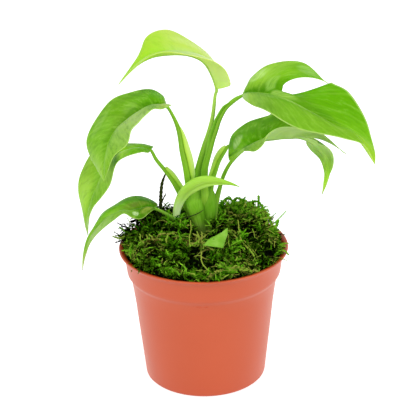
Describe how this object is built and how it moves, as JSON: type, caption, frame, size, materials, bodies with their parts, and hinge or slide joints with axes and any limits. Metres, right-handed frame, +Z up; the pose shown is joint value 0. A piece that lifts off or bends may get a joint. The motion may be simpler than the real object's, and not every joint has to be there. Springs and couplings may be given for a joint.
{
  "type": "potted mini monstera",
  "caption": "Young mini monstera with arching, partly split leaves on sheathed stalks, rooted in a round tapered plastic grower pot topped with loose green sheet moss.",
  "frame": {"origin": "centre of the pot's flat base, on the pot's axis, at the surface it stands on", "axes": "+Z up along the pot's axis; X is the direction the leaves fan out in, with the split leaf towards +X; -Y is the front, the side with the piece of cut leaf on the moss"},
  "size_m": [0.1811, 0.105, 0.2204],
  "materials": {
    "terracotta_plastic": "satin",
    "potting_mix": "matte",
    "sheet_moss": "matte",
    "stalk_green": "satin",
    "leaf_green": "satin",
    "young_leaf_green": "satin",
    "dry_twig": "matte"
  },
  "bodies": {
    "root": {"pot": "terracotta_plastic", "potting_mix": "potting_mix", "moss_mat": "sheet_moss", "main_crown": "stalk_green", "side_shoot": "stalk_green", "stalk_top_left": "stalk_green", "stalk_right_split": "stalk_green", "stalk_left_front": "stalk_green", "stalk_left_rear": "stalk_green", "stalk_right_rear": "stalk_green", "stalk_right_lobed": "stalk_green", "stalk_low_left": "stalk_green", "young_leaf": "young_leaf_green", "twig_upright": "dry_twig", "dry_tendril": "dry_twig", "leaf_fragment": "leaf_green", "blade_top_left": "young_leaf_green", "blade_right_split": "leaf_green", "blade_left_front": "leaf_green", "blade_left_rear": "leaf_green", "blade_low_left": "leaf_green", "blade_right_lobed": "leaf_green", "blade_right_rear": "leaf_green"}
  },
  "joints": []
}
